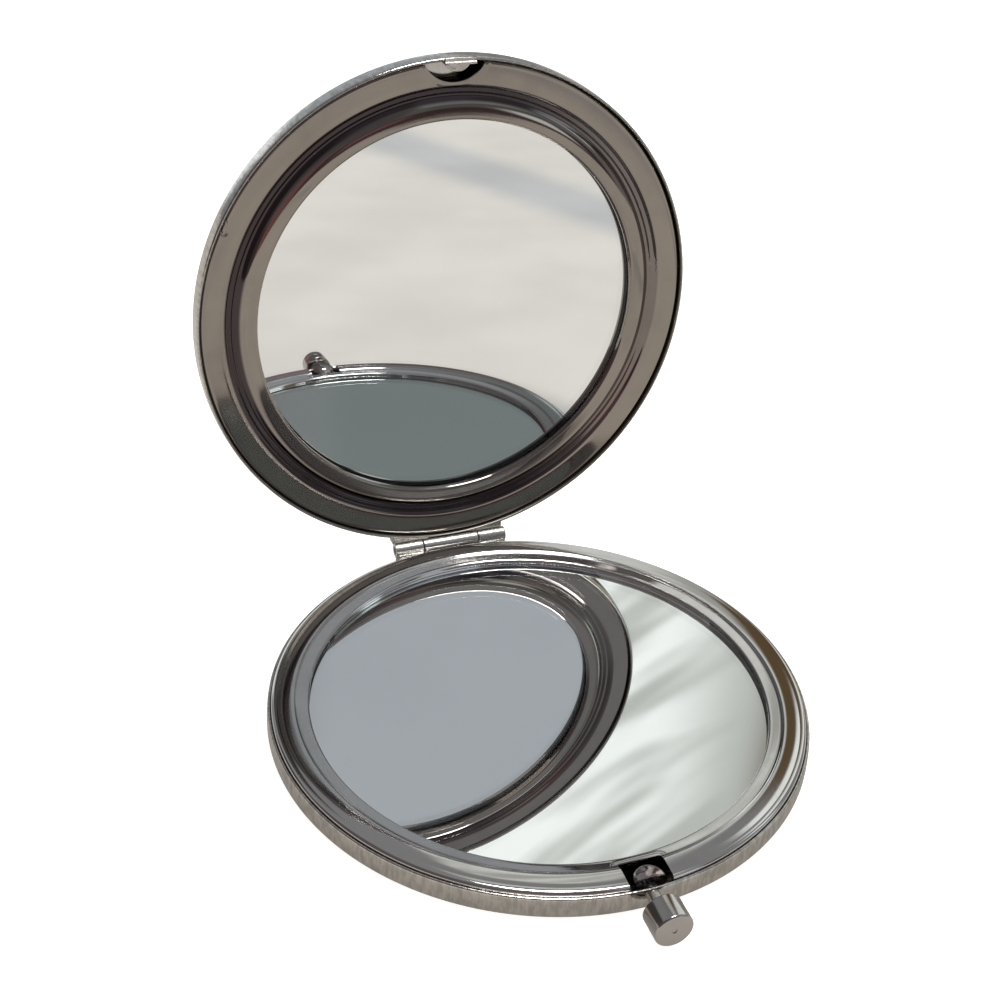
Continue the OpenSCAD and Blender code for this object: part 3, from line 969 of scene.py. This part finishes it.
def dress_cad():
    """Finishes for the pieces that keep the construction's own shape."""
    finishes = {
        "base_mirror_pad": "pad", "lid_mirror_pad": "pad",
        "hinge_pin": "pin", "latch_rod": "steel",
    }
    for node, finish in finishes.items():
        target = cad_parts[node]
        target.data.materials.clear()
        target.data.materials.append(MATERIALS[finish])


# Studio

# Sizes in metres
FLOOR_SIZE = 2.4
DOME_R = 1.5

# White of the background, and the glow that lifts the table to it for the camera
WHITE = (1, 1, 1, 1)
TABLE = (0.74, 0.71, 0.66, 1)
TABLE_GLOW = 0.9

# The table as metal and glass show it, and the grey of a long soft shadow across it
CREAM = (0.745, 0.705, 0.66, 1)
SHADOW_GREY = (0.56, 0.555, 0.56, 1)

# The shadow: direction across it, and in metres its place, its core's half width and its edge's
SHADOW_ACROSS = (0.957, -0.29)
SHADOW_PLACE = 0.1345
SHADOW_CORE = 0.004
SHADOW_EDGE = 0.018


def studio_tree(thing, name):
    """An empty material tree on a studio object."""
    material = bpy.data.materials.new(name)
    material.use_nodes = True
    material.node_tree.nodes.clear()
    thing.data.materials.append(material)
    return Tree(material.node_tree)


def table_in_metal(t):
    """The glow of the table in metal and glass, cloudy, with painted shade close to the object and a
    painted shadow across it.
    """
    where = t.add("TexCoord").outputs["Object"]
    x, y, _ = t.axes(where)
    # Painted shade: the glow falls to half close to the object
    clear = t.ramp(t.length(x, y), (CASE_R - 1) * MM, (CASE_R + 11) * MM, 0.5, 1.0)
    cloud = t.ramp(t.noise(where, 26.0, 2.0, 0.5), 0.3, 0.7, 0.94, 1.04)
    slanted = t.plus(t.times(x, SHADOW_ACROSS[0]), t.times(y, SHADOW_ACROSS[1]))
    shadow = t.ramp(t.apart(slanted, SHADOW_PLACE), SHADOW_CORE, SHADOW_EDGE, 1.0, 0.0)
    tone = t.blend(CREAM, SHADOW_GREY, shadow)
    return t.add("Emission", {"Color": tone, "Strength": t.times(clear, cloud)}).outputs[0]


def make_floor():
    """Pale table: white to the camera, cream with the object's shade in metal and glass."""
    bpy.ops.object.select_all(action="DESELECT")
    bpy.ops.mesh.primitive_plane_add(size=FLOOR_SIZE)
    floor = bpy.context.object
    floor.name = "floor"
    t = studio_tree(floor, "pale_floor")
    matte = t.add("BsdfDiffuse", {"Color": TABLE}).outputs[0]
    glow = t.add("Emission", {"Color": WHITE, "Strength": TABLE_GLOW}).outputs[0]
    shown = t.add("AddShader", {0: matte, 1: glow}).outputs[0]
    path = t.add("LightPath").outputs
    in_metal = t.math("MAXIMUM", path["Is Glossy Ray"], path["Is Transmission Ray"])
    reflected = t.add("MixShader", {0: in_metal, 1: matte, 2: table_in_metal(t)}).outputs[0]
    mixed = t.add("MixShader", {0: path["Is Camera Ray"], 1: reflected, 2: shown}).outputs[0]
    t.add("OutputMaterial", {"Surface": mixed})


# What stands round the table, as (left, right, low, high) in degrees, softness and colour.
# Left and right are counted clockwise from the back, low and high from the horizon.
SURROUNDINGS = (
    ((128, 168, 31, 95), 4, (0.41, 0.42, 0.455)),       # ceiling in front
    ((168, 240, 54, 95), 5, (0.26, 0.26, 0.28)),        # ceiling in front on the left
    ((168, 240, 15, 54), 5, (0.15, 0.145, 0.155)),      # dark cupboard in front
    ((128, 168, 15, 31), 3, (0.195, 0.215, 0.215)),     # far wall in front
    ((128, 240, -10, 15), 3, (0.1, 0.07, 0.075)),       # dark furniture in front
    ((186, 214, -2, 19), 4, (0.3, 0.16, 0.16)),         # red cushion in front
    ((167, 178, 4, 11), 2, (0.34, 0.17, 0.2)),          # small pink cushion in front
    ((140, 152, 5, 17), 3, (1.2, 1.28, 1.35)),          # small lamp at the front
    ((-130, -62, -10, 60), 8, (0.14, 0.12, 0.12)),      # dim left side
    ((-62, -34, -10, 32), 4, (0.07, 0.065, 0.06)),      # dark corner at the back left
    ((-60, -8, 34, 56), 6, (0.34, 0.35, 0.36)),         # pale wall over it
    ((-40, -24, -4, 34), 3, (0.3, 0.31, 0.33)),         # wall on the left of the window
    ((-24, 16, -4, 18), 3, (1.25, 1.3, 1.32)),          # window sill
    ((-20, 16, 18, 29), 3, (0.5, 0.54, 0.58)),          # wall under the window
    ((37, 47, 14, 44), 2, (0.14, 0.095, 0.05)),         # wooden frame
    ((48, 64, 6, 50), 2, (1.2, 1.25, 1.22)),            # bright window on the right
    ((96, 108, 20, 42), 3, (1.2, 1.32, 1.38)),          # narrow window on the right
    ((100, 118, 60, 78), 3, (1.3, 1.32, 1.28)),         # light on the ceiling
)


# Curtained window at the back, as the patches above, with the slanting folds of its curtain
WINDOW = ((17, 37.5, 18, 58), 1.5)
CURTAIN_DARK = (0.5, 0.51, 0.48, 1)
CURTAIN_PALE = (0.94, 0.96, 0.94, 1)
FOLD_ALONG = (0.82, -0.57)
FOLD_OVER = (0.57, 0.82)
FOLD_STRETCH = (0.04, 0.26)
FOLDS_FADE = (31, 37)

# The rest of the room
ROOM_GREY = (0.3, 0.3, 0.31, 1)


def bearings(t):
    """Direction of a point of the dome, in degrees clockwise from the back and over the horizon."""
    where = t.add("TexCoord").outputs["Object"]
    x, y, z = t.axes(t.add("VectorMath", {0: where}, operation="NORMALIZE").outputs[0])
    degree = math.pi / 180
    clockwise = t.math("DIVIDE", t.math("ARCTAN2", x, y), degree)
    height = t.math("DIVIDE", t.math("ARCSINE", z), degree)
    return clockwise, height


def patch_mask(t, clockwise, height, box, soft):
    """Mask of a soft-edged patch of the dome."""
    left, right, low, high = box
    from_middle = t.math("SUBTRACT", clockwise, (left + right) / 2)
    wrapped = t.add("Math", {0: from_middle, 1: 180.0, 2: -180.0}, operation="WRAP").outputs[0]
    half = (right - left) / 2
    across = t.ramp(t.math("ABSOLUTE", wrapped), half - soft, half + soft, 1.0, 0.0)
    above = t.ramp(height, low - soft, low + soft)
    below = t.ramp(height, high - soft, high + soft, 1.0, 0.0)
    return t.times(across, t.times(above, below))


def curtain(t, clockwise, height):
    """Colour of the curtain, whose folds fade out on its right."""
    along = t.plus(t.times(clockwise, FOLD_ALONG[0]), t.times(height, FOLD_ALONG[1]))
    over = t.plus(t.times(clockwise, FOLD_OVER[0]), t.times(height, FOLD_OVER[1]))
    stretched = {"X": t.times(along, FOLD_STRETCH[0]), "Y": t.times(over, FOLD_STRETCH[1])}
    slant = t.add("CombineXYZ", stretched).outputs[0]
    folds = t.ramp(t.noise(slant, 1.6, 2.0), 0.4, 0.6)
    fading = t.ramp(clockwise, *FOLDS_FADE, 1.0, 0.0)
    return t.blend(CURTAIN_DARK, CURTAIN_PALE, t.times(folds, fading))


def make_dome():
    """Surroundings seen in the metal only, out of the camera's sight."""
    bpy.ops.object.select_all(action="DESELECT")
    bpy.ops.mesh.primitive_uv_sphere_add(segments=96, ring_count=48, radius=DOME_R)
    dome = bpy.context.object
    dome.name = "studio_dome"
    t = studio_tree(dome, "studio_dome")
    clockwise, height = bearings(t)
    colour = ROOM_GREY
    for box, soft, tone in SURROUNDINGS:
        colour = t.blend(colour, (*tone, 1), patch_mask(t, clockwise, height, box, soft))
    window = patch_mask(t, clockwise, height, *WINDOW)
    colour = t.blend(colour, curtain(t, clockwise, height), window)
    glow = t.add("Emission", {"Color": colour, "Strength": 1.0}).outputs[0]
    t.add("OutputMaterial", {"Surface": glow})
    dome.visible_camera = False
    dome.visible_shadow = False


def make_world():
    """Plain white behind everything."""
    world = bpy.data.worlds.new("studio")
    bpy.context.scene.world = world
    world.use_nodes = True
    background = world.node_tree.nodes["Background"]
    background.inputs["Color"].default_value = WHITE
    background.inputs["Strength"].default_value = 1.0


# Key light over the table, in metres and watts
KEY_DIRECTION = Vector((0.12, 0.02, 1.0)).normalized()
KEY_DISTANCE = 0.9
KEY_SIZE = 0.3
KEY_POWER = 7


def make_key_light():
    light = bpy.data.lights.new("key", "AREA")
    light.size = KEY_SIZE
    light.energy = KEY_POWER
    lamp = bpy.data.objects.new("key", light)
    bpy.context.collection.objects.link(lamp)
    lamp.location = KEY_DIRECTION * KEY_DISTANCE
    lamp.rotation_mode = "QUATERNION"
    lamp.rotation_quaternion = KEY_DIRECTION.to_track_quat("Z", "Y")


# Camera: turn to the right, height and tilt in degrees, lens and sensor, and place in millimetres
CAMERA_TURN = (-22.44, 32.94, 3.58)
CAMERA_LENS = 54.32
CAMERA_SENSOR = 36
CAMERA_PLACE = (-63.72, -136.93, 131.08)
CAMERA_NEAR = 0.01


def make_camera():
    """Camera at the photograph's place, lens and tilt."""
    azimuth, elevation, roll = (math.radians(v) for v in CAMERA_TURN)
    back = Vector((
        math.sin(azimuth) * math.cos(elevation),
        -math.cos(azimuth) * math.cos(elevation),
        math.sin(elevation),
    ))
    right = (-back).cross(Vector((0, 0, 1))).normalized()
    up = right.cross(-back)
    tilted_right = right * math.cos(roll) + up * math.sin(roll)
    tilted_up = up * math.cos(roll) - right * math.sin(roll)
    data = bpy.data.cameras.new("camera")
    data.lens = CAMERA_LENS
    data.sensor_width = CAMERA_SENSOR
    data.clip_start = CAMERA_NEAR
    camera = bpy.data.objects.new("camera", data)
    bpy.context.collection.objects.link(camera)
    turn = Matrix((tilted_right, tilted_up, back)).transposed()
    camera.matrix_world = Matrix.Translation(Vector(CAMERA_PLACE) * MM) @ turn.to_4x4()
    bpy.context.scene.camera = camera


make_camera()
make_base_shell()
make_base_ring()
make_lid_shell()
make_lid_ring()
make_push_button()
make_latch_head()
make_latch_bush()
make_mirrors()
make_hinge_and_hook()
make_spring()
dress_cad()
make_floor()
make_dome()
make_world()
make_key_light()

bpy.context.scene.view_settings.view_transform = "Standard"
